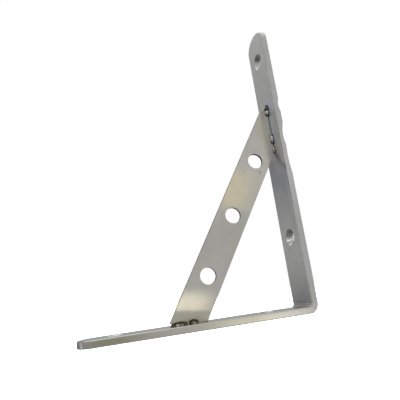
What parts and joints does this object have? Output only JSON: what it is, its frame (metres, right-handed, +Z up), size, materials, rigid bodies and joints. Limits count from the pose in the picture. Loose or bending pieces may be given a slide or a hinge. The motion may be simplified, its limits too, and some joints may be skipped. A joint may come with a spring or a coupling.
{
  "type": "shelf bracket",
  "caption": "Fixed triangular shelf bracket: a flat bar bent square, with a slanting brace strip tack-welded across the corner and countersunk screw holes.",
  "frame": {"origin": "middle of the footprint of the arm's outer face, on that face, at Z = 0. The square corner where the wall face and the arm's outer face would meet is at X = +0.070, Z = 0", "axes": "+Z up along the upright, -X along the arm from the wall face to its tip, +Y towards the back, so the front faces -Y"},
  "size_m": [0.14, 0.025, 0.1985],
  "materials": {
    "bar_steel": "bright bare stainless flat bar, semi-polished, lightly scratched",
    "brace_steel": "bright bare stainless strip, smoother than the bar",
    "weld": "rough weld metal with burnt oxide round it"
  },
  "bodies": {
    "root": {"bent_bar": "bar_steel", "brace": "brace_steel", "tip_tack": "weld", "middle_tack": "weld", "lower_tack": "weld", "outer_foot_tack": "weld", "inner_foot_tack": "weld"}
  },
  "joints": []
}
